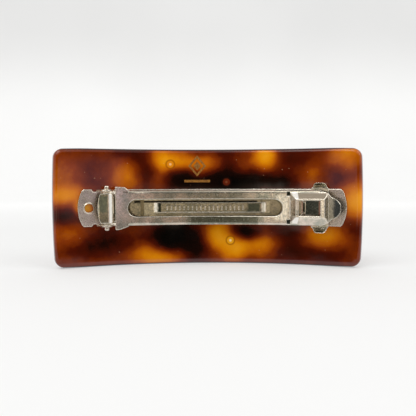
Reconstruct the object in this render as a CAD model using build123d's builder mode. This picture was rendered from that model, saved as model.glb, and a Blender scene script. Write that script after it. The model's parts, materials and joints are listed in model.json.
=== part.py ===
from build123d import *
from math import cos, sin, sqrt
import os

# A French barrette: a curved acetate plate standing on its long edge, with a steel clip on its hollow side.
# +X runs along the plate, +Z is up, and the clip faces -Y. Millimetres.
# u is the distance along the plate's hollow face from its middle, h is the height in front of that face,
# and dz is the height above the clip's centre line.

# plate
PLATE_LENGTH = 90.7
PLATE_HEIGHT = 34.8
PLATE_THICKNESS = 3.5
HOLLOW_RADIUS = 94.0
EDGE_RISE = 0.6
FLAT_HALF_LENGTH = 34.0
END_BULGE = 0.48
CORNER_RADIUS = 2.7
RIM_RADIUS = 1.2
PLATE_SPARE = 2.0
CORNER_SPARE = 0.5
EDGE_RUN_ON = 6.0
EDGE_RISE_ON = 0.5

# where the plate stands, so that the whole object's box is centred on the origin
APEX_Y = 5.1415
CLIP_Z = 17.4

# adhesive and base bar
GLUE = 0.15
GLUE_HALF_WIDTH = 4.2
GLUE_LEFT = -33.2
GLUE_RIGHT = 35.8
GLUE_GAP = 8.0
BASE_THICKNESS = 0.6
BASE_FRONT = GLUE + BASE_THICKNESS
BASE_HALF_WIDTH = 5.4
BASE_LEFT = -38.8
BASE_RIGHT = 41.4
END_SET_BACK = 1.2
CORNER_CUT = 0.5
NOTCH_LEFT = -34.9
NOTCH_U = -34.3
NOTCH_RIGHT = -33.6
NOTCH_END = -32.8
NOTCH_DEPTH = 0.7
SPARE_HOLE_U = -35.6
COVERED_HOLE_U = 38.0
SPARE_HOLE_RADIUS = 1.3
SPARE_RIM_RADIUS = 1.85
SPARE_RIM_HEIGHT = 0.3
SPARE_RIM_TAPER = 38
SPARE_RIM_SINK = 0.3

# hinge
PIN_U = -30.7
PIN_H = 2.75
PIN_RADIUS = 0.65
PIN_HEAD_RADIUS = 0.78
PIN_HEAD_ROUND = 0.35
PIN_HEAD_START = 5.5
PIN_HALF_LENGTH = 6.5
EAR_OUTER = 5.35
EAR_THICKNESS = 0.5
EAR_RADIUS = 1.8
EAR_FOOT_LEFT = -2.7
EAR_FOOT_RIGHT = 2.5
EAR_FOOT_SINK = 0.35
EAR_FOOT_RISE = 0.2
LUG_OUTER = 4.8
LUG_THICKNESS = 0.45
LUG_RADIUS = 1.2
LUG_BORE = 0.70
LUG_BELLY = 0.9
LUG_FLANK = 0.79
LUG_FOOT_LEFT = 2.3
LUG_FOOT_RIGHT = 5.2
LUG_FOOT_SINK = 0.3
LUG_FOOT_DROP = 0.6
VISOR_HALF_WIDTH = 4.25
VISOR_REACH = 3.0
VISOR_BULGE = 1.0
VISOR_H = 4.05
VISOR_LIP = 0.5
VISOR_LIP_DROP = 0.45
VISOR_LIP_RADIUS = 0.8
VISOR_RIDGE = 0.4
VISOR_RIDGE_H = 4.55
VISOR_RIDGE_RADIUS = 0.3
VISOR_BACK = 1.8
VISOR_BACK_H = 4.2
VISOR_BEND_RADIUS = 0.45

# clamp arm
ARM_THICKNESS = 0.5
ARM_FRONT = 5.6
ARM_LEFT = -28.5
ARM_HALF_WIDTH = 5.1
SHOULDER_HALF_WIDTH = 6.2
SHOULDER_CUT = 0.3
UPPER_SHOULDER = (-25.7, -24.3)
LOWER_SHOULDER = (-26.9, -24.2)
FLANGE_LEFT = -24.6
FLANGE_RIGHT = 34.3
FLANGE_DEPTH = 1.6
FOLD_RADIUS = 0.75
END_OVERLAP = 0.1
SLOT_LEFT = -24.8
SLOT_RIGHT = 23.2
SLOT_WIDTH = 5.0
TONGUE_TIP = 40.5
TONGUE_NECK = 37.8
TONGUE_NECK_LENGTH = 0.4
TONGUE_HALF_WIDTH = 3.0
TONGUE_ROOT_HALF_WIDTH = 4.3

# raised box near the arm's free end
BOX_U = 31.1
BOX_FOOT_LEFT = 25.5
BOX_FOOT_RIGHT = 36.6
BOX_FOOT_HALF_WIDTH = 4.55
BOX_TOP_LEFT = 27.7
BOX_TOP_RIGHT = 35.6
BOX_TOP_HALF_WIDTH = 2.6
BOX_RISE = 1.9
BOX_WALL = 0.35
BOX_SINK = 0.3
WINDOW_SINK = 0.8
WINDOW_CORNER = 0.15
WINDOW_LEFT = 28.5
WINDOW_RIGHT = 34.5
WINDOW_WIDTH = 4.4
RAMP_SLOT_LEFT = 25.95
RAMP_SLOT_RIGHT = 27.5
RELIEF_U = 24.95
RELIEF_DZ = 4.05
RELIEF_LENGTH = 0.95
RELIEF_WIDTH = 1.3
RELIEF_CORNER = 0.2

# tension bar
SPRING_THICKNESS = 0.4
SPRING_HALF_WIDTH = 3.4
SPRING_GAP = 0.05
SPRING_BEND_RADIUS = 0.5
SPRING_NECK_LEFT = -28.1
SPRING_NECK_RIGHT = -26.3
BOW_HALF_SPAN = 25.4
BOW_MIDDLE_U = 0.5
BOW_FOOT_H = 1.35
BOW_CROWN_H = 3.75
BOW_RUN_OUT = 2.0
RIB_LEFT = -15.3
RIB_RIGHT = 16.6
RIB_WIDTH = 2.85
RIB_RISE = 0.5
RIB_RAMP = 1.9
RIB_WALL = 0.3
TAIL_HALF_WIDTH = 1.5
TAIL_SHOULDER = 27.0
TAIL_NECK = 29.0
TAIL_END = 33.0

# clasp spring
CLASP_U = 34.1
SADDLE_HALF_WIDTH = 2.3
SADDLE_LEFT = 29.6
SADDLE_RIGHT = 36.25
SADDLE_STEP = 34.6
SADDLE_STEP_RUN = 0.6
SADDLE_STEP_RISE = 0.6
SADDLE_BEND_RADIUS = 0.25
SADDLE_GAP = 0.01
TAB_ROOT_Z = 2.7
TAB_ROOT_H = 1.05
TAB_TOP_H = 5.75
TAB_HALF_LENGTH = 2.45
EAR_LEVEL = 2.3
EAR_BEND_DZ = 6.35
EAR_TIP_DZ = 7.45
EAR_TIP_H = 4.3
EAR_BEND_RADIUS = 1.3
EAR_CORNER = 0.35
EAR_CROWN_DZ = 7.56
EAR_CORNER_DZ = 6.7
NUB = 0.4
NUB_TOP_DZ = 5.8
NUB_FOOT_DZ = 5.2
UPRIGHT_SET_BACK = 1.2
TOOTH_REACH = 0.85
TOOTH_LEVEL = 4.85
TOOTH_HALF_LENGTH = 1.1
TOOTH_U = 33.2
TOOTH_NOSE = 0.12
TOOTH_TOP_DROP = 0.1
LIP_EDGE = 3.4
LIP_LEFT = 31.6
LIP_RIGHT = 34.3
LIP_TOP = 4.75
LIP_THICKNESS = 0.4
LIP_ROOT = 4.8

REACH_THROUGH = 40.0

ARC_CENTRE_Y = APEX_Y - HOLLOW_RADIUS


def place(u, h, z=CLIP_Z):
    """The point at arc length u and height h in front of the hollow face."""
    radius = HOLLOW_RADIUS - h
    return Vector(radius * sin(u / HOLLOW_RADIUS), ARC_CENTRE_Y + radius * cos(u / HOLLOW_RADIUS), z)


def along(u):
    """The direction of growing u."""
    return Vector(cos(u / HOLLOW_RADIUS), -sin(u / HOLLOW_RADIUS), 0)


def forward(u):
    """The direction of growing h."""
    return Vector(-sin(u / HOLLOW_RADIUS), -cos(u / HOLLOW_RADIUS), 0)


def face_plane(u, h=0):
    """Lies against the hollow face: local x is u, local y is dz, local z is h."""
    return Plane(origin=place(u, h), x_dir=along(u), z_dir=forward(u))


def side_plane(u, dz):
    """Stands on edge: local x is u, local y is h, and it extrudes downwards from dz."""
    return Plane(origin=place(u, 0, CLIP_Z + dz), x_dir=along(u), z_dir=(0, 0, -1))


def cross_plane(u):
    """Cuts across the clip: local x is dz, local y is h, and it extrudes along u."""
    return Plane(origin=place(u, 0), x_dir=(0, 0, 1), z_dir=along(u))


def plan(u, dz, h):
    """A corner of an outline that is cut straight through along Y."""
    return ((HOLLOW_RADIUS - h) * sin(u / HOLLOW_RADIUS), CLIP_Z + dz)


def curved_band(left, right, back, front):
    """The section of a sheet that follows the hollow face, seen from above."""
    middle = (left + right) / 2
    with BuildSketch() as band:
        with BuildLine():
            ThreePointArc(place(left, back, 0), place(middle, back, 0), place(right, back, 0))
            Line(place(right, back, 0), place(right, front, 0))
            ThreePointArc(place(right, front, 0), place(middle, front, 0), place(left, front, 0))
            Line(place(left, front, 0), place(left, back, 0))
        make_face()
    return band.sketch


def clip_strip(sections, half_width):
    """A strip of the clip: a section seen from above, made as wide as the strip is."""
    with BuildPart() as strip:
        with BuildSketch(Plane.XY.offset(CLIP_Z)):
            add(sections)
        extrude(amount=half_width, both=True)
    return strip.part


def through(outline, reach=REACH_THROUGH):
    """An outline on the XZ plane as a block that passes through the whole object."""
    with BuildPart() as block:
        with BuildSketch(Plane.XZ):
            add(outline)
        extrude(amount=reach, both=True)
    return block.part


def export(part, name):
    part.label = name
    export_step(part, f"parts/{name}.step")


os.makedirs("parts", exist_ok=True)

# ---------------------------------------------------------------- acetate plate
half_end = PLATE_LENGTH / 2
past_end = HOLLOW_RADIUS * sin(half_end / HOLLOW_RADIUS) + EDGE_RUN_ON
edge_rise = EDGE_RISE + EDGE_RISE_ON
bulge_radius = (PLATE_HEIGHT / 2) ** 2 / (2 * END_BULGE)

with BuildSketch() as plate_outline:
    with BuildLine():
        bottom = Line((-FLAT_HALF_LENGTH, 0), (FLAT_HALF_LENGTH, 0))
        right_rise = TangentArc(bottom @ 1, (past_end, edge_rise), tangent=bottom % 1)
        right_fall = TangentArc(
            (FLAT_HALF_LENGTH, PLATE_HEIGHT), (past_end, PLATE_HEIGHT - edge_rise), tangent=(1, 0)
        )
        Line(right_rise @ 1, right_fall @ 1)
        top = Line((FLAT_HALF_LENGTH, PLATE_HEIGHT), (-FLAT_HALF_LENGTH, PLATE_HEIGHT))
        left_fall = TangentArc(top @ 1, (-past_end, PLATE_HEIGHT - edge_rise), tangent=(-1, 0))
        left_rise = TangentArc(bottom @ 0, (-past_end, edge_rise), tangent=(-1, 0))
        Line(left_fall @ 1, left_rise @ 1)
    make_face()

with BuildPart() as acetate_plate:
    with BuildSketch(Plane.XY):
        add(curved_band(-half_end - PLATE_SPARE, half_end + PLATE_SPARE, -PLATE_THICKNESS, 0))
    extrude(amount=PLATE_HEIGHT)
    add(through(plate_outline.sketch), mode=Mode.INTERSECT)
    for side in (-1, 1):
        with BuildSketch(face_plane(side * half_end)):
            with Locations((-side * bulge_radius, 0)):
                Circle(bulge_radius)
        extrude(amount=PLATE_LENGTH, both=True, mode=Mode.INTERSECT)
    corners = [edge for edge in acetate_plate.edges() if edge.length < PLATE_THICKNESS + CORNER_SPARE]
    fillet(corners, CORNER_RADIUS)
    hollow_face, outer_face = acetate_plate.faces().filter_by(GeomType.CYLINDER).sort_by(SortBy.AREA)[-2:]
    fillet(hollow_face.edges() + outer_face.edges(), RIM_RADIUS)
export(acetate_plate.part, "acetate_plate")

# ---------------------------------------------------------------- adhesive pads
for name, left, right in (
    ("adhesive_pad_hinge_end", GLUE_LEFT, -GLUE_GAP),
    ("adhesive_pad_clasp_end", GLUE_GAP, GLUE_RIGHT),
):
    pad = clip_strip(curved_band(left, right, 0, GLUE), GLUE_HALF_WIDTH)
    export(pad, name)

# ---------------------------------------------------------------- base bar
# The outline is half of the bar, above its centre line. The other half is its mirror image.
base_top = BASE_HALF_WIDTH
left_corner = BASE_LEFT + END_SET_BACK
right_corner = BASE_RIGHT - END_SET_BACK
notch_foot = base_top - NOTCH_DEPTH


def base_point(u, dz):
    return plan(u, dz, BASE_FRONT)


with BuildSketch() as base_outline:
    with BuildLine():
        ThreePointArc(
            base_point(left_corner, CORNER_CUT - base_top),
            base_point(BASE_LEFT, 0),
            base_point(left_corner, base_top - CORNER_CUT),
        )
        for half in (1, -1):
            Polyline(
                base_point(left_corner, half * (base_top - CORNER_CUT)),
                base_point(left_corner + CORNER_CUT, half * base_top),
                base_point(NOTCH_LEFT, half * base_top),
                base_point(NOTCH_U, half * notch_foot),
                base_point(NOTCH_RIGHT, half * notch_foot),
                base_point(NOTCH_END, half * EAR_OUTER),
                base_point(right_corner - CORNER_CUT, half * base_top),
                base_point(right_corner, half * (base_top - CORNER_CUT)),
            )
        ThreePointArc(
            base_point(right_corner, base_top - CORNER_CUT),
            base_point(BASE_RIGHT, 0),
            base_point(right_corner, CORNER_CUT - base_top),
        )
    make_face()

with BuildPart() as base_bar:
    add(clip_strip(curved_band(BASE_LEFT, BASE_RIGHT, GLUE, BASE_FRONT), BASE_HALF_WIDTH))
    add(through(base_outline.sketch), mode=Mode.INTERSECT)
    # hinge ears, folded up from the bar's long edges
    for ear_top in (EAR_OUTER, EAR_THICKNESS - EAR_OUTER):
        with BuildSketch(side_plane(PIN_U, ear_top)):
            with Locations((0, PIN_H)):
                Circle(EAR_RADIUS)
            with BuildLine():
                Polyline(
                    (EAR_FOOT_LEFT, BASE_FRONT - EAR_FOOT_SINK),
                    (EAR_FOOT_RIGHT, BASE_FRONT - EAR_FOOT_SINK),
                    (EAR_FOOT_RIGHT, BASE_FRONT + EAR_FOOT_RISE),
                    (EAR_RADIUS, PIN_H),
                    (-EAR_RADIUS, PIN_H),
                    (EAR_FOOT_LEFT, BASE_FRONT + EAR_FOOT_RISE),
                    close=True,
                )
            make_face()
            with Locations((0, PIN_H)):
                Circle(PIN_RADIUS, mode=Mode.SUBTRACT)
        extrude(amount=EAR_THICKNESS)
    # rivet holes with rolled rims, one spare at the hinge end and one under the arm's tongue
    for hole_u in (SPARE_HOLE_U, COVERED_HOLE_U):
        with BuildSketch(face_plane(hole_u, BASE_FRONT - SPARE_RIM_SINK)):
            Circle(SPARE_RIM_RADIUS)
        extrude(amount=SPARE_RIM_SINK + SPARE_RIM_HEIGHT, taper=SPARE_RIM_TAPER)
        with BuildSketch(face_plane(hole_u)):
            Circle(SPARE_HOLE_RADIUS)
        extrude(amount=2 * BASE_FRONT, mode=Mode.SUBTRACT)
export(base_bar.part, "base_bar")

# ---------------------------------------------------------------- hinge pin
with BuildPart() as hinge_pin:
    pin_foot = place(PIN_U, PIN_H, CLIP_Z - PIN_HALF_LENGTH)
    with BuildSketch(Plane(origin=pin_foot, x_dir=along(PIN_U), z_dir=(0, 0, 1))):
        Circle(PIN_HEAD_RADIUS)
    extrude(amount=PIN_HALF_LENGTH - PIN_HEAD_START)
    with BuildSketch(Plane(origin=pin_foot, x_dir=along(PIN_U), z_dir=(0, 0, 1))):
        Circle(PIN_RADIUS)
    extrude(amount=2 * PIN_HALF_LENGTH)
    with BuildSketch(Plane(origin=place(PIN_U, PIN_H, CLIP_Z + PIN_HEAD_START), z_dir=(0, 0, 1))):
        Circle(PIN_HEAD_RADIUS)
    extrude(amount=PIN_HALF_LENGTH - PIN_HEAD_START)
    ends = hinge_pin.edges().filter_by(GeomType.CIRCLE).group_by(Axis.Z)
    fillet(ends[0] + ends[-1], PIN_HEAD_ROUND)
export(hinge_pin.part, "hinge_pin")

# ---------------------------------------------------------------- clamp arm
arm_back = ARM_FRONT - ARM_THICKNESS


def arm_point(u, dz):
    return plan(u, dz, ARM_FRONT - ARM_THICKNESS / 2)


with BuildSketch() as arm_outline:
    with BuildLine():
        cut_half_width = SHOULDER_HALF_WIDTH - SHOULDER_CUT
        Line(arm_point(ARM_LEFT, -cut_half_width), arm_point(ARM_LEFT, cut_half_width))
        for half, (shoulder_end, waist) in ((1, UPPER_SHOULDER), (-1, LOWER_SHOULDER)):
            Polyline(
                arm_point(ARM_LEFT, half * cut_half_width),
                arm_point(ARM_LEFT + SHOULDER_CUT, half * SHOULDER_HALF_WIDTH),
                arm_point(shoulder_end, half * (SHOULDER_HALF_WIDTH - SHOULDER_CUT / 2)),
                arm_point(waist, half * ARM_HALF_WIDTH),
                arm_point(FLANGE_RIGHT, half * ARM_HALF_WIDTH),
                arm_point(BOX_FOOT_RIGHT, half * TONGUE_ROOT_HALF_WIDTH),
                arm_point(TONGUE_NECK, half * TONGUE_HALF_WIDTH),
                arm_point(TONGUE_NECK + TONGUE_NECK_LENGTH, half * TONGUE_HALF_WIDTH),
            )
        ThreePointArc(
            arm_point(TONGUE_NECK + TONGUE_NECK_LENGTH, TONGUE_HALF_WIDTH),
            arm_point(TONGUE_TIP, 0),
            arm_point(TONGUE_NECK + TONGUE_NECK_LENGTH, -TONGUE_HALF_WIDTH),
        )
    make_face()


def box_sides(inset, lift):
    """The raised box as a block, from below its foot to its top, drawn in by inset on every side."""
    slope_left = (BOX_TOP_LEFT - BOX_FOOT_LEFT) / BOX_RISE
    slope_right = (BOX_FOOT_RIGHT - BOX_TOP_RIGHT) / BOX_RISE
    slope_side = (BOX_FOOT_HALF_WIDTH - BOX_TOP_HALF_WIDTH) / BOX_RISE
    with BuildPart() as block:
        for level, spread in ((-BOX_SINK, BOX_SINK), (BOX_RISE, -BOX_RISE)):
            left = BOX_FOOT_LEFT - slope_left * spread - BOX_U + inset
            right = BOX_FOOT_RIGHT + slope_right * spread - BOX_U - inset
            half_width = BOX_FOOT_HALF_WIDTH + slope_side * spread - inset
            with BuildSketch(face_plane(BOX_U, ARM_FRONT + level + lift)):
                with Locations(((left + right) / 2, 0)):
                    Rectangle(right - left, 2 * half_width)
        loft()
    return block.part


with BuildPart() as clamp_arm:
    # channel: a sheet with both long edges folded back
    flange_back = ARM_FRONT - FLANGE_DEPTH
    add(clip_strip(curved_band(FLANGE_LEFT, FLANGE_RIGHT, flange_back, ARM_FRONT), ARM_HALF_WIDTH))
    inside = curved_band(FLANGE_LEFT - 1, FLANGE_RIGHT + 1, flange_back - 1, arm_back)
    add(clip_strip(inside, ARM_HALF_WIDTH - ARM_THICKNESS), mode=Mode.SUBTRACT)
    flange_length = FLANGE_RIGHT - FLANGE_LEFT
    arcs = clamp_arm.edges().filter_by(GeomType.CIRCLE)
    folds = arcs.filter_by(lambda edge: edge.length > flange_length / 2)
    front_folds = folds.group_by(Axis.Y)[0].sort_by(Axis.Z)
    fillet([front_folds[0], front_folds[-1]], FOLD_RADIUS)
    # flat ends: the shoulders at the hinge and the tongue at the clasp
    shoulders = curved_band(ARM_LEFT, FLANGE_LEFT + END_OVERLAP, arm_back, ARM_FRONT)
    add(clip_strip(shoulders, SHOULDER_HALF_WIDTH))
    tongue = curved_band(FLANGE_RIGHT - END_OVERLAP, TONGUE_TIP, arm_back, ARM_FRONT)
    add(clip_strip(tongue, ARM_HALF_WIDTH))
    # raised box
    add(box_sides(0, 0))
    add(box_sides(BOX_WALL, -ARM_THICKNESS), mode=Mode.SUBTRACT)
    add(through(arm_outline.sketch), mode=Mode.INTERSECT)
    # long slot
    with BuildSketch(Plane.XZ):
        slot_left = plan(SLOT_LEFT, 0, ARM_FRONT)[0]
        slot_right = plan(SLOT_RIGHT, 0, ARM_FRONT)[0]
        with Locations(((slot_left + slot_right) / 2, CLIP_Z)):
            SlotOverall(slot_right - slot_left, SLOT_WIDTH)
    extrude(amount=REACH_THROUGH, both=True, mode=Mode.SUBTRACT)
    # window in the top of the box, and the slot in its ramp
    for left, right in ((WINDOW_LEFT, WINDOW_RIGHT), (RAMP_SLOT_LEFT, RAMP_SLOT_RIGHT)):
        with BuildSketch(face_plane(BOX_U, ARM_FRONT - WINDOW_SINK)):
            with Locations(((left + right) / 2 - BOX_U, 0)):
                RectangleRounded(right - left, WINDOW_WIDTH, WINDOW_CORNER)
        extrude(amount=2 * BOX_RISE, mode=Mode.SUBTRACT)
    # corner reliefs at the foot of the ramp
    for half in (1, -1):
        with BuildSketch(face_plane(RELIEF_U)):
            with Locations((0, half * RELIEF_DZ)):
                RectangleRounded(RELIEF_LENGTH, RELIEF_WIDTH, RELIEF_CORNER)
        extrude(amount=ARM_FRONT + ARM_THICKNESS, mode=Mode.SUBTRACT)
    # inward lips, which the clasp spring's teeth hook over
    lip_middle = (LIP_LEFT + LIP_RIGHT) / 2 - CLASP_U
    for half in (1, -1):
        with BuildSketch(face_plane(CLASP_U, LIP_TOP - LIP_THICKNESS)):
            with Locations((lip_middle, half * (LIP_EDGE + LIP_ROOT) / 2)):
                Rectangle(LIP_RIGHT - LIP_LEFT, LIP_ROOT - LIP_EDGE)
        extrude(amount=LIP_THICKNESS)
    # hinge lugs, folded down beside the base bar's ears
    for lug_top in (LUG_OUTER, LUG_THICKNESS - LUG_OUTER):
        with BuildSketch(side_plane(PIN_U, lug_top)):
            with Locations((0, PIN_H)):
                Circle(LUG_RADIUS)
            with BuildLine():
                Polyline(
                    (LUG_BELLY, PIN_H - LUG_FLANK),
                    (LUG_FOOT_RIGHT, arm_back - LUG_FOOT_DROP),
                    (LUG_FOOT_RIGHT, arm_back + LUG_FOOT_SINK),
                    (LUG_FOOT_LEFT, arm_back + LUG_FOOT_SINK),
                    (LUG_FOOT_LEFT, arm_back),
                    (-LUG_FLANK, PIN_H + LUG_BELLY),
                    close=True,
                )
            make_face()
            with Locations((0, PIN_H)):
                Circle(LUG_BORE, mode=Mode.SUBTRACT)
        extrude(amount=LUG_THICKNESS)
export(clamp_arm.part, "clamp_arm")

# ---------------------------------------------------------------- tension bar
bow_left = place(BOW_MIDDLE_U - BOW_HALF_SPAN, BOW_FOOT_H, 0)
bow_right = place(BOW_MIDDLE_U + BOW_HALF_SPAN, BOW_FOOT_H, 0)
bow_crown = place(BOW_MIDDLE_U, BOW_CROWN_H, 0)

spring_rest = BASE_FRONT + SPRING_GAP + SPRING_THICKNESS / 2

with BuildLine() as spring_path:
    bow = ThreePointArc(bow_left, bow_crown, bow_right)
    FilletPolyline(
        place(PIN_U - VISOR_REACH - VISOR_LIP, VISOR_H - 2 * VISOR_LIP_DROP, 0),
        place(PIN_U - VISOR_REACH + VISOR_LIP, VISOR_H, 0),
        place(PIN_U + VISOR_RIDGE, VISOR_RIDGE_H, 0),
        place(PIN_U + VISOR_BACK, VISOR_BACK_H, 0),
        place(PIN_U + VISOR_BACK, spring_rest, 0),
        bow_left - (bow % 0) * BOW_RUN_OUT,
        bow_left,
        radius=(
            VISOR_LIP_RADIUS,
            VISOR_RIDGE_RADIUS,
            VISOR_BEND_RADIUS,
            SPRING_BEND_RADIUS,
            BOW_RUN_OUT,
        ),
    )
    FilletPolyline(
        bow_right,
        bow_right + (bow % 1) * BOW_RUN_OUT,
        place(TAIL_END, spring_rest, 0),
        radius=BOW_RUN_OUT,
    )

bow_centre = bow.arc_center


def bow_point(u, radius):
    """A point over arc length u, on an arc about the bow's centre."""
    x = place(u, BOW_CROWN_H).X
    return Vector(x, bow_centre.Y + sqrt(radius**2 - (x - bow_centre.X) ** 2), 0)


def bow_band(left, right, back, front, ramp):
    """The section of a rib on the bow. Its ends slope by ramp from back to front."""
    middle = (left + right) / 2
    back_radius = bow.radius - back
    front_radius = bow.radius - front
    with BuildSketch() as band:
        with BuildLine():
            ThreePointArc(
                bow_point(left - ramp, back_radius),
                bow_point(middle, back_radius),
                bow_point(right + ramp, back_radius),
            )
            Line(bow_point(right + ramp, back_radius), bow_point(right, front_radius))
            ThreePointArc(
                bow_point(right, front_radius),
                bow_point(middle, front_radius),
                bow_point(left, front_radius),
            )
            Line(bow_point(left, front_radius), bow_point(left - ramp, back_radius))
        make_face()
    return band.sketch


def visor_point(u, dz):
    return plan(u, dz, VISOR_H)


def spring_point(u, dz):
    return plan(u, dz, BASE_FRONT)


with BuildSketch() as spring_outline:
    with BuildLine():
        visor_corner = PIN_U - VISOR_REACH + VISOR_BULGE
        ThreePointArc(
            visor_point(visor_corner, -VISOR_HALF_WIDTH),
            visor_point(PIN_U - VISOR_REACH, 0),
            visor_point(visor_corner, VISOR_HALF_WIDTH),
        )
        for half in (1, -1):
            Polyline(
                visor_point(visor_corner, half * VISOR_HALF_WIDTH),
                spring_point(SPRING_NECK_LEFT, half * VISOR_HALF_WIDTH),
                spring_point(SPRING_NECK_RIGHT, half * SPRING_HALF_WIDTH),
                spring_point(TAIL_SHOULDER, half * SPRING_HALF_WIDTH),
                spring_point(TAIL_NECK, half * TAIL_HALF_WIDTH),
                spring_point(TAIL_END, half * TAIL_HALF_WIDTH),
            )
        Line(spring_point(TAIL_END, TAIL_HALF_WIDTH), spring_point(TAIL_END, -TAIL_HALF_WIDTH))
    make_face()

with BuildPart() as tension_bar:
    with BuildSketch(Plane.XY.offset(CLIP_Z)):
        trace(spring_path.line, SPRING_THICKNESS)
    extrude(amount=2 * VISOR_HALF_WIDTH, both=True)
    add(through(spring_outline.sketch), mode=Mode.INTERSECT)
    # pressed rib: raised on the front, hollow behind
    half_sheet = SPRING_THICKNESS / 2
    add(clip_strip(bow_band(RIB_LEFT, RIB_RIGHT, 0, half_sheet + RIB_RISE, RIB_RAMP), RIB_WIDTH / 2))
    groove_front = RIB_RISE - half_sheet
    groove = bow_band(RIB_LEFT + RIB_WALL, RIB_RIGHT - RIB_WALL, -SPRING_THICKNESS, groove_front, RIB_RAMP)
    add(clip_strip(groove, RIB_WIDTH / 2 - SPRING_THICKNESS), mode=Mode.SUBTRACT)
export(tension_bar.part, "tension_bar")

# ---------------------------------------------------------------- clasp spring
saddle_h = BASE_FRONT + SADDLE_GAP + SPRING_THICKNESS / 2
bridge_h = saddle_h + SADDLE_STEP_RISE

with BuildLine() as saddle_path:
    FilletPolyline(
        place(SADDLE_RIGHT, saddle_h, 0),
        place(SADDLE_STEP + SADDLE_STEP_RUN, saddle_h, 0),
        place(SADDLE_STEP, bridge_h, 0),
        place(SADDLE_LEFT, bridge_h, 0),
        radius=SADDLE_BEND_RADIUS,
    )

with BuildPart() as clasp_saddle:
    with BuildSketch(Plane.XY.offset(CLIP_Z)):
        trace(saddle_path.line, SPRING_THICKNESS)
    extrude(amount=SADDLE_HALF_WIDTH, both=True)
export(clasp_saddle.part, "clasp_saddle")


def squeeze_tab(half):
    """One leg of the clasp spring: a round root, an upright with a tooth, and a curled finger ear."""
    half_sheet = SPRING_THICKNESS / 2
    leg_length = 2 * TAB_HALF_LENGTH
    nub_end = -TAB_HALF_LENGTH - NUB
    root_edge = TAB_ROOT_Z - half_sheet
    tooth_tip = TAB_ROOT_Z + half_sheet + TOOTH_REACH
    tooth_top = TAB_TOP_H - TOOTH_TOP_DROP
    with BuildPart() as ear:
        with BuildSketch(cross_plane(CLASP_U + nub_end)):
            with BuildLine() as ear_path:
                FilletPolyline(
                    (half * TAB_ROOT_Z, EAR_LEVEL),
                    (half * EAR_BEND_DZ, EAR_LEVEL),
                    (half * EAR_TIP_DZ, EAR_TIP_H),
                    radius=EAR_BEND_RADIUS,
                )
            trace(ear_path.line, SPRING_THICKNESS)
        extrude(amount=leg_length + NUB)
        with BuildSketch(face_plane(CLASP_U)):
            with BuildLine():
                Polyline(
                    (-TAB_HALF_LENGTH + EAR_CORNER, half * EAR_CORNER_DZ),
                    (-TAB_HALF_LENGTH, half * (NUB_TOP_DZ + NUB / 2)),
                    (nub_end, half * NUB_TOP_DZ),
                    (nub_end, half * NUB_FOOT_DZ),
                    (-TAB_HALF_LENGTH, half * (NUB_FOOT_DZ - NUB / 2)),
                    (-TAB_HALF_LENGTH, half * root_edge),
                    (TAB_HALF_LENGTH, half * root_edge),
                    (TAB_HALF_LENGTH, half * NUB_TOP_DZ),
                    (TAB_HALF_LENGTH - EAR_CORNER, half * EAR_CORNER_DZ),
                )
                ThreePointArc(
                    (TAB_HALF_LENGTH - EAR_CORNER, half * EAR_CORNER_DZ),
                    (0, half * EAR_CROWN_DZ),
                    (EAR_CORNER - TAB_HALF_LENGTH, half * EAR_CORNER_DZ),
                )
            make_face()
        extrude(amount=2 * EAR_TIP_H, mode=Mode.INTERSECT)
    with BuildPart() as tab:
        add(ear.part)
        with BuildSketch(cross_plane(CLASP_U - TAB_HALF_LENGTH)):
            with Locations((half * TAB_ROOT_Z, TAB_ROOT_H)):
                Circle(half_sheet)
            with Locations((half * TAB_ROOT_Z, (TAB_ROOT_H + EAR_LEVEL) / 2)):
                Rectangle(SPRING_THICKNESS, EAR_LEVEL - TAB_ROOT_H)
        extrude(amount=leg_length)
        with BuildSketch(cross_plane(CLASP_U - TAB_HALF_LENGTH)):
            with Locations((half * TAB_ROOT_Z, (TAB_TOP_H + EAR_LEVEL) / 2)):
                Rectangle(SPRING_THICKNESS, TAB_TOP_H - EAR_LEVEL)
        extrude(amount=leg_length - UPRIGHT_SET_BACK)
        with BuildSketch(cross_plane(TOOTH_U - TOOTH_HALF_LENGTH)):
            with BuildLine():
                Polyline(
                    (half * TAB_ROOT_Z, TOOTH_LEVEL),
                    (half * tooth_tip, TOOTH_LEVEL),
                    (half * tooth_tip, TOOTH_LEVEL + TOOTH_NOSE),
                    (half * (TAB_ROOT_Z + half_sheet), tooth_top),
                    (half * TAB_ROOT_Z, tooth_top),
                    close=True,
                )
            make_face()
        extrude(amount=2 * TOOTH_HALF_LENGTH)
    return tab.part


export(squeeze_tab(1), "squeeze_tab_upper")
export(squeeze_tab(-1), "squeeze_tab_lower")
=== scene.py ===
"""Looks for a tortoiseshell barrette with a worn steel clip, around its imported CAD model. Metres."""

import json
import math

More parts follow.
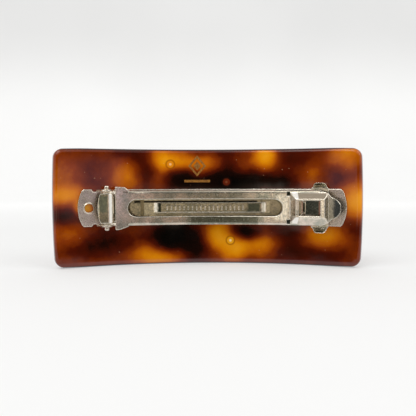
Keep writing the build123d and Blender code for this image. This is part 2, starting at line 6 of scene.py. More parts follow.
import bmesh
import bpy
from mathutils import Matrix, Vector


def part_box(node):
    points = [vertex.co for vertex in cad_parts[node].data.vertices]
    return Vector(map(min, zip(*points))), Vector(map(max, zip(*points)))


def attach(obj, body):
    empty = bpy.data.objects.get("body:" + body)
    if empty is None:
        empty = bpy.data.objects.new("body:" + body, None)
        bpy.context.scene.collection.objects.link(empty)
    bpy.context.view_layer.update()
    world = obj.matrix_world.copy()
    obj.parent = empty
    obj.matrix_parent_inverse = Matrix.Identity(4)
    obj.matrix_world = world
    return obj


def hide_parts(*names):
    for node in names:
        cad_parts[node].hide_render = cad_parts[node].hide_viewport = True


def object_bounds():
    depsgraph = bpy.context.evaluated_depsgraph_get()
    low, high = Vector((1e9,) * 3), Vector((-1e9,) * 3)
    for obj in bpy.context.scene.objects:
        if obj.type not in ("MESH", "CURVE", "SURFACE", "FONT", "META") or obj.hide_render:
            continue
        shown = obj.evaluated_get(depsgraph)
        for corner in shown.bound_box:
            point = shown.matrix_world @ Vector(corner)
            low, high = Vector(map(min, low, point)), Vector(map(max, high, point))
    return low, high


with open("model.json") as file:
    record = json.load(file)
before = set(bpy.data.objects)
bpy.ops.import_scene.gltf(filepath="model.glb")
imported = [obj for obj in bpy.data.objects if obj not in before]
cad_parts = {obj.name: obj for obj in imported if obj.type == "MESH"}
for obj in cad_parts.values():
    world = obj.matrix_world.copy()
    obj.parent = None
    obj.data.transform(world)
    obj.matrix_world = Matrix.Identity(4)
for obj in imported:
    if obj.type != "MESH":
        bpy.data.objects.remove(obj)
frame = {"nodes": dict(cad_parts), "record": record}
cad_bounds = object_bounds()

MM = 0.001

# plate
HOLLOW_RADIUS = 94.0 * MM
PLATE_THICKNESS = 3.5 * MM
PLATE_HALF_LENGTH = 45.35 * MM
FLAT_HALF_LENGTH = 34.0 * MM
EDGE_RISE_RATE = 4.514  # per metre
END_BULGE = 0.48 * MM
CORNER_RADIUS = 2.7 * MM
RIM_RADIUS = 1.2 * MM
# How far in from the outline the plate's two flat rings of faces end, next to its rounded rim.
RIM_LOOP = 1.25 * RIM_RADIUS
FLAT_MARGIN = 1.6 * RIM_RADIUS
RIM_STEPS = 8
CORNER_STEPS = 12
EDGE_STEPS = 84
END_STEPS = 26
CROSS_CUTS = 90

plate_low, plate_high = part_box("acetate_plate")
base_low, base_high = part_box("base_bar")
APEX_Y = plate_high.y - PLATE_THICKNESS
ARC_CENTRE_Y = APEX_Y - HOLLOW_RADIUS
PLATE_HEIGHT = plate_high.z - plate_low.z
PLATE_MIDDLE_Z = (plate_low.z + plate_high.z) / 2
CLIP_Z = (base_low.z + base_high.z) / 2

# foil ornament on the plate, and pressed marks on the tension bar's rib
FOIL_LIFT = 0.02 * MM
FOIL_LINE = 0.75 * MM
LOZENGE_CENTRE = (-3.2 * MM, 12.4 * MM)
LOZENGE_HALF_SIZE = (2.7 * MM, 3.2 * MM)
LOZENGE_HEART = 0.42
RULE_Z = 7.8 * MM
RULE_HALF_LENGTH = 3.9 * MM
MARK_COUNT = 19
MARK_LEFT = -12.0 * MM
MARK_RIGHT = 10.4 * MM
MARK_HALF_WIDTH = 0.20 * MM
MARK_HALF_HEIGHT = 0.85 * MM
MARK_RISE = 0.07 * MM
MARK_SINK = 0.02 * MM

# Ears of the squeeze tabs. The first three are heights from the clip's centre line, and the crowns are how
# far the ear's end stands past its shoulders, in the CAD solid and here. The ear narrows towards EAR_MIDDLE,
# which is measured along the clip from the middle of the tab's root.
EAR_FOOT = 5.3 * MM
EAR_SIDE = 5.9 * MM
EAR_SHOULDER = 6.7 * MM
EAR_CROWN = 0.86 * MM
EAR_FLAT_CROWN = 0.50 * MM
EAR_HALF_WIDTH = 2.1 * MM
EAR_NARROWING = 0.17
EAR_MIDDLE = -0.85 * MM

# camera
CAMERA_DISTANCE = 150.0 * MM
CAMERA_X = -1.11 * MM
CAMERA_Z = 24.8 * MM
CAMERA_PITCH = math.radians(2.98)
CAMERA_YAW = math.radians(0.46)
CAMERA_ROLL = math.radians(0.14)
CAMERA_LENS = 42.58


def place(u, h, z):
    """The point at arc length u along the hollow face, h in front of that face and z above the floor."""
    radius = HOLLOW_RADIUS - h
    angle = u / HOLLOW_RADIUS
    return Vector((radius * math.sin(angle), ARC_CENTRE_Y + radius * math.cos(angle), z))


def arc(centre, radius, start, end, steps):
    """Points on an arc, with its angles in degrees."""
    points = []
    for step in range(steps + 1):
        angle = math.radians(start + (end - start) * step / steps)
        points.append((centre[0] + radius * math.cos(angle), centre[1] + radius * math.sin(angle)))
    return points


# ---------------------------------------------------------------- node helpers
class Shader:
    """Builds one material's node tree."""

    def __init__(self, name):
        self.material = bpy.data.materials.new(name)
        self.material.use_nodes = True
        self.tree = self.material.node_tree
        self.tree.nodes.clear()
        self.output = self.add("ShaderNodeOutputMaterial")
        self.position = self.add("ShaderNodeTexCoord").outputs["Object"]

    def add(self, kind, **settings):
        node = self.tree.nodes.new(kind)
        for key, value in settings.items():
            setattr(node, key, value)
        return node

    def feed(self, socket, value):
        if isinstance(value, bpy.types.NodeSocket):
            self.tree.links.new(value, socket)
        else:
            socket.default_value = value

    def math(self, operation, a, b=0.0):
        node = self.add("ShaderNodeMath", operation=operation)
        self.feed(node.inputs[0], a)
        self.feed(node.inputs[1], b)
        return node.outputs[0]

    def vector(self, operation, a, b=(0, 0, 0)):
        node = self.add("ShaderNodeVectorMath", operation=operation)
        self.feed(node.inputs[0], a)
        self.feed(node.inputs[1], b)
        return node.outputs["Value" if operation in ("LENGTH", "DOT_PRODUCT") else "Vector"]

    def axes(self, vector):
        """The vector's three components."""
        node = self.add("ShaderNodeSeparateXYZ")
        self.feed(node.inputs[0], vector)
        return node.outputs

    def span(self, value, low, high, out_low=0.0, out_high=1.0, smooth=True):
        """value as it goes from low to high, on a new scale."""
        node = self.add("ShaderNodeMapRange", interpolation_type="SMOOTHSTEP" if smooth else "LINEAR")
        for socket, number in zip(node.inputs, (value, low, high, out_low, out_high)):
            self.feed(socket, number)
        return node.outputs[0]

    def away(self, value, reach, softness):
        """0 where value is nearer to zero than reach, and 1 where it is further away."""
        return self.span(self.math("ABSOLUTE", value), reach - softness, reach + softness)

    def stretch(self, factors):
        return self.vector("MULTIPLY", self.position, factors)

    def noise(self, size, detail=3.0, roughness=0.55, vector=None, colour=False):
        """Noise whose features are about size metres across."""
        node = self.add("ShaderNodeTexNoise")
        self.feed(node.inputs["Vector"], vector or self.position)
        self.feed(node.inputs["Scale"], 1 / size)
        self.feed(node.inputs["Detail"], detail)
        self.feed(node.inputs["Roughness"], roughness)
        return node.outputs["Color" if colour else "Fac"]

    def mix(self, factor, a, b):
        node = self.add("ShaderNodeMix", data_type="RGBA")
        self.feed(node.inputs["Factor"], factor)
        self.feed(node.inputs["A"], a)
        self.feed(node.inputs["B"], b)
        return node.outputs["Result"]

    def ramp(self, value, stops):
        """A colour scale from (place, sRGB colour) stops."""
        node = self.add("ShaderNodeValToRGB")
        self.feed(node.inputs[0], value)
        elements = node.color_ramp.elements
        while len(elements) < len(stops):
            elements.new(0.5)
        for element, (position, colour) in zip(elements, stops):
            element.position = position
            element.color = linear(colour)
        return node.outputs[0]

    def rounded_normal(self, radius):
        """The surface's normal with every sharp edge rounded off."""
        node = self.add("ShaderNodeBevel", samples=6)
        node.inputs["Radius"].default_value = radius
        return node.outputs[0]

    def bump(self, height, distance, strength=1.0, normal=None):
        node = self.add("ShaderNodeBump")
        node.inputs["Strength"].default_value = strength
        node.inputs["Distance"].default_value = distance
        self.feed(node.inputs["Height"], height)
        if normal is not None:
            self.feed(node.inputs["Normal"], normal)
        return node.outputs[0]

    def surface(self, **values):
        """The Principled shader. Values go by socket name, with _ for a space."""
        node = self.add("ShaderNodeBsdfPrincipled")
        for key, value in values.items():
            self.feed(node.inputs[key.replace("_", " ")], value)
        self.feed(self.output.inputs["Surface"], node.outputs[0])


def linear(colour):
    """An sRGB colour from 0 to 255 as linear RGBA."""
    parts = []
    for value in colour:
        share = value / 255
        parts.append(share / 12.92 if share <= 0.04045 else ((share + 0.055) / 1.055) ** 2.4)
    return (*parts, 1.0)


# ---------------------------------------------------------------- acetate
# Clouds in the acetate: x and z from the plate's middle, half width, half height (mm) and strength.
# A strength above 0 is clear amber, and one below 0 is dark.
CLOUDS = (
    (-39.5, 3.4, 5.5, 2.6, 0.30),
    (-42.0, 9.0, 4.0, 5.0, 0.16),
    (-40.0, -8.0, 4.5, 2.6, 0.15),
    (-24.5, 9.0, 3.4, 3.4, 0.27),
    (-14.6, 8.8, 2.6, 3.0, 0.16),
    (-14.5, 15.0, 3.2, 3.0, 0.30),
    (-9.5, 13.5, 4.5, 2.4, 0.34),
    (-0.5, 12.8, 4.5, 2.0, 0.30),
    (-3.5, 10.0, 3.0, 1.8, 0.14),
    (17.1, 15.3, 2.9, 3.2, 0.50),
    (12.0, 12.2, 3.5, 2.2, 0.08),
    (30.5, 9.5, 4.5, 3.0, 0.16),
    (39.8, 15.5, 3.8, 3.4, 0.30),
    (43.0, 2.0, 4.0, 4.5, 0.45),
    (34.0, -7.8, 4.6, 3.2, 0.36),
    (3.2, -8.2, 3.2, 3.4, 0.48),
    (7.5, -13.0, 3.4, 3.4, 0.42),
    (14.5, -12.0, 5.0, 2.6, 0.30),
    (19.0, -10.0, 3.5, 2.0, 0.12),
    (-15.5, -15.3, 6.0, 2.4, 0.38),
    (-18.0, -12.0, 3.0, 2.0, 0.15),
    (-18.5, 12.0, 2.6, 5.0, -0.17),
    (-24.0, 16.0, 4.0, 2.0, -0.12),
    (-34.0, 9.5, 5.0, 4.5, -0.05),
    # This amber cloud lies behind the base bar's spare hole. It is partly the acetate's own amber and partly
    # painted light, made stronger to lift the shade of the hole's wall.
    (-35.6, 0.0, 1.8, 1.8, 0.60),
    (3.0, 8.5, 13.0, 3.4, -0.27),
    (-8.0, 7.5, 5.0, 2.8, -0.18),
    (5.5, 15.0, 3.0, 4.0, -0.14),
    (12.0, 7.0, 9.0, 2.4, -0.20),
    (26.0, 14.5, 4.0, 3.4, -0.14),
    (24.0, 8.0, 4.0, 2.6, -0.18),
    (36.0, 9.0, 3.0, 2.4, -0.12),
    (-41.0, -1.4, 3.4, 2.4, -0.20),
    (-31.0, -10.5, 7.0, 3.0, -0.22),
    (-9.5, -8.5, 4.5, 4.0, -0.42),
    (-15.0, -9.0, 4.0, 3.0, -0.20),
    (-3.5, -13.0, 3.0, 4.0, -0.26),
    (11.0, -7.6, 4.0, 2.0, -0.28),
    (24.0, -7.6, 4.0, 2.6, -0.18),
    (25.0, -13.5, 4.5, 2.8, -0.16),
    (34.0, -14.5, 5.0, 2.4, -0.14),
    (-38.0, -12.5, 4.0, 2.4, -0.04),
    (42.0, -5.5, 3.0, 3.0, -0.12),
    (-25.5, 0.9, 3.6, 2.6, 0.24),
    (-16.0, -0.5, 5.5, 2.0, -0.24),
    (-5.5, 1.0, 2.4, 2.2, 0.14),
    (2.5, -0.9, 3.8, 2.5, 0.32),
    (11.5, 1.0, 6.0, 2.4, -0.28),
    (19.5, 0.0, 2.4, 2.4, 0.12),
    (29.5, 0.6, 5.0, 2.2, 0.28),
)
# Trapped bubbles: x and z from the plate's middle (mm), and the colours of the disc, its ring and the painted
# highlight in its middle.
BUBBLES = (
    (-11.3, 12.9, (208, 126, 16), (140, 74, 4), (236, 184, 120)),
    (6.9, -10.3, (228, 158, 24), (150, 84, 2), (248, 222, 160)),
    (5.7, 7.5, (92, 30, 10), (34, 10, 4), (122, 66, 40)),
)
BUBBLE_RADIUS = 1.15 * MM
CLOUD_WARP = 2.2 * MM
CLOUD_REACH = 2.0
MIDDLE_DEPTH = 0.40
ACETATE_COLOURS = (
    (0.00, (5, 2, 1)),
    (0.16, (22, 4, 1)),
    (0.32, (74, 16, 1)),
    (0.48, (126, 48, 2)),
    (0.64, (182, 94, 2)),
    (0.80, (214, 132, 3)),
    (1.00, (230, 160, 28)),
)
RIM_SHADE = (34, 14, 12)
# A lighter, greyish painted reflection along the plate's lower edge.
LOWER_EDGE_PAINTED_REFLECTION = (150, 118, 120)
LINT = (214, 170, 130)


def cloud_depth(shader):
    """How clear the acetate is at each point: 0 is the darkest brown, and 1 the palest amber."""
    drift = shader.noise(9 * MM, 2.0, 0.5, colour=True)
    drift = shader.vector("SUBTRACT", drift, (0.5, 0.5, 0.5))
    drift = shader.vector("MULTIPLY", drift, (CLOUD_WARP, 0, CLOUD_WARP))
    drifted = shader.vector("ADD", shader.position, drift)
    depth = MIDDLE_DEPTH
    for x, z, half_width, half_height, strength in CLOUDS:
        centre = (x * MM, 0, PLATE_MIDDLE_Z + z * MM)
        offset = shader.vector("SUBTRACT", drifted, centre)
        offset = shader.vector("MULTIPLY", offset, (1 / (half_width * MM), 0, 1 / (half_height * MM)))
        reach = shader.vector("LENGTH", offset)
        depth = shader.math("ADD", depth, shader.span(reach, 0.0, CLOUD_REACH, strength, 0.0))
    fine = shader.noise(2.6 * MM, 3.0, 0.6)
    return shader.math("ADD", depth, shader.span(fine, 0.2, 0.8, -0.03, 0.03))


def add_bubbles(shader, colour):
    """The colour with its trapped bubbles. Each is a disc in a darker ring, with a small painted highlight in
    its middle.
    """
    for x, z, disc, ring, painted_glint in BUBBLES:
        centre = (x * MM, 0, PLATE_MIDDLE_Z + z * MM)
        offset = shader.vector("MULTIPLY", shader.vector("SUBTRACT", shader.position, centre), (1, 0, 1))
        reach = shader.vector("LENGTH", offset)
        halo = shader.span(reach, 1.05 * BUBBLE_RADIUS, 1.5 * BUBBLE_RADIUS, 0.75, 0.0)
        inside = shader.span(reach, 0.82 * BUBBLE_RADIUS, 1.02 * BUBBLE_RADIUS, 1.0, 0.0)
        # A painted highlight in each bubble's middle.
        middle = shader.span(reach, 0.20 * MM, 0.52 * MM, 0.9, 0.0)
        for mask, tone in ((halo, ring), (inside, disc), (middle, painted_glint)):
            colour = shader.mix(mask, colour, linear(tone))
    return colour


def shade_rim(shader, colour):
    """The colour with the plate's rounded rim darker, and a faint greyish painted reflection along the lower
    edge.
    """
    across, _, up = shader.axes(shader.vector("SUBTRACT", shader.position, (0, 0, PLATE_MIDDLE_Z)))
    half_height = PLATE_HEIGHT / 2
    # Painted reflection along the lower edge of the plate.
    painted_reflection_band = shader.span(up, RIM_RADIUS - half_height, FLAT_MARGIN - half_height, 0.10, 0.0)
    colour = shader.mix(painted_reflection_band, colour, linear(LOWER_EDGE_PAINTED_REFLECTION))
    edge = shader.math("ABSOLUTE", up)
    edge = shader.span(edge, half_height - 0.6 * RIM_RADIUS, half_height - 0.15 * RIM_RADIUS)
    end = shader.span(shader.math("ABSOLUTE", across), plate_high.x - 0.7 * RIM_RADIUS, plate_high.x)
    return shader.mix(shader.math("MAXIMUM", edge, end), colour, linear(RIM_SHADE))


def acetate_material():
    """Polished tortoiseshell acetate: amber and dark clouds, small bubbles, lint and a slight waviness."""
    shader = Shader("tortoiseshell")
    colour = shader.ramp(cloud_depth(shader), ACETATE_COLOURS)
    colour = add_bubbles(shader, colour)
    colour = shade_rim(shader, colour)
    lint = shader.span(shader.noise(0.55 * MM, 0.0), 0.86, 0.89)
    colour = shader.mix(shader.math("MULTIPLY", lint, 0.35), colour, linear(LINT))
    waviness = shader.noise(14 * MM, 1.0)
    smudge = shader.noise(6 * MM, 4.0, 0.6, shader.stretch((0.6, 1, 1.5)))
    shader.surface(
        Base_Color=colour,
        Roughness=shader.span(smudge, 0.35, 0.75, 0.045, 0.12),
        IOR=1.49,
        Specular_IOR_Level=0.38,
        Normal=shader.bump(waviness, 0.12 * MM),
    )
    return shader.material


# ---------------------------------------------------------------- metal
EDGE_ROUNDING = 0.36 * MM
# The pale tone painted on the metal's edges as a highlight.
PAINTED_EDGE_HIGHLIGHT = (240, 232, 214)
OLIVE = (190, 176, 154)
PIT = (96, 90, 80)

# Places on the metal painted lighter or darker: x, z above the clip's centre line, half width, half height
# (mm) and colour. Many are painted highlights, reflections, shade and shadow, as noted beside them. Those
# that are more than RAGGED_SIZE each way have wavy, softer edges.
RAGGED_SIZE = 2.0
RAGGED_EDGE = 0.45 * MM
RAGGED_WARP = 1.6 * MM
SHARP_EDGE = 0.15 * MM
ARM_MARKS = (
    # Painted reflections on the tongue, lighter on its left and darker on its right.
    (34.9, 0.0, 1.5, 3.0, (180, 174, 150)),
    (36.6, -0.2, 1.5, 2.6, (80, 84, 78)),
    (4.3, 4.66, 28.6, 0.16, (136, 128, 110)),
    # Painted highlight between the slot's end and the box.
    (29.8, 0.0, 3.6, 2.75, (246, 236, 218)),
    (29.3, 3.3, 3.8, 0.95, (168, 154, 134)),
    # Painted highlight at the slot's end.
    (21.3, 0.0, 1.7, 3.7, (250, 244, 230)),
    (4.8, -3.6, 9.8, 1.3, (142, 142, 126)),
    # Painted highlights beside the box, above and below the centre line.
    (24.9, 3.5, 0.75, 1.0, (255, 250, 240)),
    (24.9, -3.5, 0.75, 1.0, (255, 250, 240)),
)
BAR_MARKS = (
    (24.2, 4.0, 0.7, 0.9, (84, 90, 80)),
    (24.2, -4.2, 0.7, 0.9, (84, 90, 80)),
)
SADDLE_MARKS = ((32.45, 0.0, 0.25, 2.4, (176, 134, 114)),)
SPRING_MARKS = (
    # Painted highlight along the rib's lower edge.
    (0.1, -1.46, 15.2, 0.12, (255, 250, 235)),
    # Painted shade at the two ends of the rib.
    (-14.4, 0.0, 0.55, 1.35, (70, 76, 62)),
    (13.6, 0.0, 1.9, 1.3, (116, 122, 110)),
    # Painted highlights: the spring's left end, and the block beside the rib's right end.
    (-17.0, 0.0, 1.9, 2.4, (255, 246, 222)),
    (17.5, 0.0, 0.8, 1.7, (255, 246, 222)),
    (25.3, 0.0, 0.9, 2.4, (255, 244, 226)),
    (28.3, 0.0, 0.3, 2.5, (70, 72, 64)),
    (27.8, 0.0, 0.2, 2.4, (244, 216, 198)),
    # Painted shade on the visor's flat, and a painted highlight along its bend.
    (-29.9, 1.2, 1.25, 2.4, (158, 166, 152)),
    (-27.8, 0.0, 0.75, 4.4, (255, 250, 238)),
    # Painted shadow under the top edge of the arm's slot.
    (-3.6, 1.72, 18.2, 0.28, (24, 18, 12)),
    (-19.4, 0.0, 0.5, 2.4, (176, 164, 136)),
)


def add_marks(shader, colour, marks):
    """The colour with its marks. Each is a rectangle with soft edges that goes through the metal along Y."""
    warp = shader.vector("SUBTRACT", shader.noise(1.1 * MM, 3.0, 0.65, colour=True), (0.5, 0.5, 0.5))
    warp = shader.vector("MULTIPLY", warp, (RAGGED_WARP, 0, RAGGED_WARP))
    for x, z, half_width, half_height, tone in marks:
        spot = shader.vector("SUBTRACT", shader.position, (x * MM, 0, CLIP_Z + z * MM))
        edge = SHARP_EDGE
        if 2 * min(half_width, half_height) > RAGGED_SIZE:
            edge = RAGGED_EDGE
            spot = shader.vector("ADD", spot, warp)
        across, _, up = shader.axes(spot)
        across = shader.away(across, half_width * MM, edge)
        up = shader.away(up, half_height * MM, edge)
        colour = shader.mix(shader.math("MAXIMUM", across, up), linear(tone), colour)
    return colour


def metal_material(name, light, dark, stain, *, grain, roughness, patch, balance=0.5, marks=()):
    """Worn nickelled steel with its sharp edges painted pale as a highlight. light, dark and stain are its
    colours, grain stretches its scratches, patch is the size of its tarnished patches in mm, and balance
    moves it from light (0) to dark (1)."""
    shader = Shader(name)
    patches = shader.noise(patch * MM, 4.0, 0.62)
    patches = shader.span(patches, 0.56 - 0.3 * balance, 0.80 - 0.3 * balance)
    freckles = shader.span(shader.noise(0.6 * MM, 4.0, 0.7), 0.42, 0.66)
    pits = shader.span(shader.noise(0.2 * MM, 2.0, 0.6), 0.26, 0.36, 1.0, 0.0)
    scratches = shader.noise(0.14 * MM, 3.0, 0.7, shader.stretch(grain))
    rounded = shader.rounded_normal(EDGE_ROUNDING)
    face = shader.add("ShaderNodeNewGeometry").outputs["Normal"]
    # Painted highlight along the edges, where the rounded normal turns away from the face.
    edge_highlight_mask = shader.span(shader.vector("DOT_PRODUCT", rounded, face), 0.92, 0.99, 1.0, 0.0)

    colour = shader.mix(patches, linear(light), linear(dark))
    colour = shader.mix(shader.math("MULTIPLY", freckles, 0.35), colour, linear(stain))
    colour = shader.mix(shader.math("MULTIPLY", pits, 0.30), colour, linear(PIT))
    if marks:
        colour = add_marks(shader, colour, marks)
    colour = shader.mix(edge_highlight_mask, colour, linear(PAINTED_EDGE_HIGHLIGHT))

    rough = shader.span(freckles, 0.0, 1.0, roughness - 0.03, roughness + 0.07, smooth=False)
    rough = shader.math("ADD", rough, shader.span(scratches, 0.3, 0.7, -0.04, 0.04))
    relief = shader.math("MULTIPLY", scratches, 0.4)
    relief = shader.math("ADD", relief, shader.math("MULTIPLY", freckles, 0.6))
    relief = shader.math("SUBTRACT", relief, shader.math("MULTIPLY", pits, 0.6))
    normal = shader.bump(relief, 0.006 * MM, 0.5, rounded)
    shader.surface(Base_Color=colour, Metallic=1.0, Roughness=rough, Normal=normal)
    return shader.material


def bar_material():
    """The base bar's dull nickel."""
    colours = ((224, 208, 192), (190, 178, 160), OLIVE)
    return metal_material(
        "nickelled_bar", *colours, grain=(0.2, 1, 1), roughness=0.28, patch=5.0, balance=0.4, marks=BAR_MARKS
    )


def arm_material():
    """The clamp arm's nickel, with painted highlights beside the box and darker places along its strips."""
    colours = ((236, 221, 204), (176, 178, 164), OLIVE)
    return metal_material(
        "nickelled_arm", *colours, grain=(0.12, 1, 1), roughness=0.20, patch=7.0, marks=ARM_MARKS
    )


def tab_material():
    """The squeeze tabs' steel, brushed across."""
    colours = ((220, 210, 192), (172, 174, 160), (182, 172, 148))
    return metal_material("tab_steel", *colours, grain=(1, 0.15, 1), roughness=0.20, patch=4.0)


def spring_material():
    """The tension bar's smooth, pale steel."""
    colours = ((222, 211, 189), (190, 185, 165), (182, 169, 141))
    return metal_material(
        "spring_steel", *colours, grain=(0.15, 1, 1), roughness=0.14, patch=4.0, marks=SPRING_MARKS
    )


def saddle_material():
    """The steel at the bottom of the box's window, its colours painted dark as the shade deep in the window.
    """
    # Dark tones painted as shade, for steel that sits deep in the box's window.
    colours = ((104, 106, 94), (78, 82, 74), (92, 88, 74))
    return metal_material(
        "spring_steel_painted_dark", *colours, grain=(1, 1, 1), roughness=0.3, patch=3.0, marks=SADDLE_MARKS
    )


def pin_material():
    """The hinge pin's bright drawn wire."""
    colours = ((232, 222, 206), (200, 188, 170), OLIVE)
    return metal_material("bright_pin", *colours, grain=(1, 1, 0.3), roughness=0.22, patch=1.5, balance=0.3)


def adhesive_material():
    """The dull brown film of adhesive under the base bar."""
    colours = ((96, 70, 34), (70, 44, 18), (120, 90, 50))
    return metal_material("clear_adhesive", *colours, grain=(1, 1, 1), roughness=0.4, patch=2.0)


FOIL_GOLD = (166, 112, 38)
FOIL_WORN = (126, 78, 20)


def foil_material():
    """Dull gold stamping foil, worn thin in places."""
    shader = Shader("stamped_foil")
    wear = shader.span(shader.noise(0.35 * MM, 3.0, 0.65), 0.40, 0.62)
    colour = shader.mix(wear, linear(FOIL_GOLD), linear(FOIL_WORN))
    rough = shader.span(wear, 0.0, 1.0, 0.38, 0.52)
    normal = shader.bump(shader.noise(0.12 * MM, 2.0, 0.6), 0.004 * MM, 0.5)
    shader.surface(Base_Color=colour, Metallic=0.35, Roughness=rough, Normal=normal)
    return shader.material


def paint(node, material):
    """Gives a CAD node a new material, on its object and not on its mesh."""
    piece = frame["nodes"][node]
    if not piece.material_slots:
        piece.data.materials.append(material)
    for material_slot in piece.material_slots:
        material_slot.link = "OBJECT"
        material_slot.material = material


# ---------------------------------------------------------------- stamped details
def foil_ornament(material):
    """A plain lozenge in a thin frame over a rule, stamped in foil on the plate's hollow face."""
    mesh = bmesh.new()

    def patch(corners, steps):
        """A four-cornered piece of foil, divided so that it follows the curved face."""
        first, second, third, fourth = [Vector(corner) for corner in corners]
        sides = []
        for start, end in ((first, second), (fourth, third)):
            points = [start.lerp(end, step / steps) for step in range(steps + 1)]
            sides.append([mesh.verts.new(place(u, FOIL_LIFT, PLATE_MIDDLE_Z + z)) for u, z in points])
        near, far = sides
        for step in range(steps):
            mesh.faces.new((near[step], near[step + 1], far[step + 1], far[step]))

    def lozenge(half_width, half_height):
        u, z = LOZENGE_CENTRE
        return ((u - half_width, z), (u, z - half_height), (u + half_width, z), (u, z + half_height))

    half_width, half_height = LOZENGE_HALF_SIZE
    frame_share = 1 - FOIL_LINE / half_width
    outer = lozenge(half_width, half_height)
    inner = lozenge(half_width * frame_share, half_height * frame_share)
    for index in range(4):
        after = (index + 1) % 4
        patch((outer[index], outer[after], inner[after], inner[index]), 4)
    patch(lozenge(LOZENGE_HEART * half_width, LOZENGE_HEART * half_height), 3)
    low, high = RULE_Z - FOIL_LINE / 2, RULE_Z + FOIL_LINE / 2
    left, right = LOZENGE_CENTRE[0] - RULE_HALF_LENGTH, LOZENGE_CENTRE[0] + RULE_HALF_LENGTH
    patch(((left, low), (right, low), (right, high), (left, high)), 12)
    bmesh.ops.recalc_face_normals(mesh, faces=mesh.faces)
    ornament = finish_mesh(mesh, "foil_ornament", material)
    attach(ornament, "plate")


def pressed_marks(material):
    """A row of plain upright marks, raised on the tension bar's rib."""
    spring = frame["nodes"]["tension_bar"]
    in_front = cad_bounds[0][1] - 1 * MM
    across, along = 6, 10
    mesh = bmesh.new()
    for count in range(MARK_COUNT):
        middle = MARK_LEFT + (MARK_RIGHT - MARK_LEFT) * count / (MARK_COUNT - 1)
        rows = []
        for i in range(across + 1):
            side = 2 * i / across - 1
            line = []
            for j in range(along + 1):
                run = 2 * j / along - 1
                x = middle + side * MARK_HALF_WIDTH
                z = CLIP_Z + run * MARK_HALF_HEIGHT
                _, point, _, _ = spring.ray_cast(Vector((x, in_front, z)), Vector((0, 1, 0)))
                swell = math.sqrt(1 - side**2) * min(1.0, 3 * (1 - abs(run)))
                line.append(mesh.verts.new((x, point.y + MARK_SINK - (MARK_RISE + MARK_SINK) * swell, z)))
            rows.append(line)
        for row, following in zip(rows, rows[1:]):
            for j in range(along):
                mesh.faces.new((row[j], following[j], following[j + 1], row[j + 1]))
    marks = finish_mesh(mesh, "pressed_marks", material)
    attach(marks, "plate")


# ---------------------------------------------------------------- plate mesh
def edge_rise(u):
    """How far the plate's long edges draw in, beyond the straight middle."""
    x = abs(HOLLOW_RADIUS * math.sin(u / HOLLOW_RADIUS))
    return EDGE_RISE_RATE * max(0.0, x - FLAT_HALF_LENGTH) ** 2


def end_reach(z):
    """How far the plate's end stands out at height z from its middle line."""
    return PLATE_HALF_LENGTH - END_BULGE * (2 * z / PLATE_HEIGHT) ** 2


def plate_outline():
    """The plate's outline, anticlockwise, as (u, z) with z from its middle line."""
    half_height = PLATE_HEIGHT / 2
    corner_u = PLATE_HALF_LENGTH - END_BULGE - CORNER_RADIUS
    corner_z = half_height - edge_rise(corner_u) - CORNER_RADIUS
    corner_u = end_reach(corner_z) - CORNER_RADIUS
    quarter = []
    for step in range(EDGE_STEPS // 2, EDGE_STEPS):
        u = -corner_u + 2 * corner_u * step / EDGE_STEPS
        quarter.append((u, edge_rise(u) - half_height))
    quarter += arc((corner_u, -corner_z), CORNER_RADIUS, -90, 0, CORNER_STEPS)
    for step in range(1, END_STEPS // 2):
        z = -corner_z + 2 * corner_z * step / END_STEPS
        quarter.append((end_reach(z), z))
    right_half = quarter + [(PLATE_HALF_LENGTH, 0.0)] + [(u, -z) for u, z in reversed(quarter)]
    left_half = [(-u, z) for u, z in reversed(right_half)]
    return right_half[:-1] + left_half[:-1]


def inset(outline, distance):
    """The outline moved inwards by distance."""
    count = len(outline)
    moved = []
    for index in range(count):
        before = Vector(outline[index - 1])
        after = Vector(outline[(index + 1) % count])
        run = (after - before).normalized()
        point = Vector(outline[index]) + distance * Vector((-run.y, run.x))
        moved.append((point.x, point.y))
    return moved


def plate_piece(material):
    """The curved plate with its rounded rims, finer than the CAD solid."""
    outline = plate_outline()
    profile = [(FLAT_MARGIN, 0.0), (RIM_LOOP, 0.0)]
    for step in range(RIM_STEPS + 1):
        angle = math.radians(90 * step / RIM_STEPS)
        profile.append((RIM_RADIUS * (1 - math.sin(angle)), -RIM_RADIUS * (1 - math.cos(angle))))
    profile += [(distance, -PLATE_THICKNESS - h) for distance, h in reversed(profile)]
    mesh = bmesh.new()
    rings = []
    for distance, h in profile:
        rings.append([mesh.verts.new((u, h, z)) for u, z in inset(outline, distance)])
    count = len(outline)
    for ring, following in zip(rings, rings[1:]):
        for index in range(count):
            after = (index + 1) % count
            mesh.faces.new((ring[index], ring[after], following[after], following[index]))
    mesh.faces.new(list(reversed(rings[0])))
    mesh.faces.new(rings[-1])
    # Cuts across the flat plate, so that it bends smoothly.
    for step in range(1, CROSS_CUTS):
        u = PLATE_HALF_LENGTH * (2 * step / CROSS_CUTS - 1)
        everything = mesh.verts[:] + mesh.edges[:] + mesh.faces[:]
        bmesh.ops.bisect_plane(mesh, geom=everything, dist=1e-7, plane_co=(u, 0, 0), plane_no=(1, 0, 0))
    for vert in mesh.verts:
        vert.co = place(vert.co.x, vert.co.y, PLATE_MIDDLE_Z + vert.co.z)
    bmesh.ops.recalc_face_normals(mesh, faces=mesh.faces)
    return finish_mesh(mesh, "tortoiseshell_plate", material)


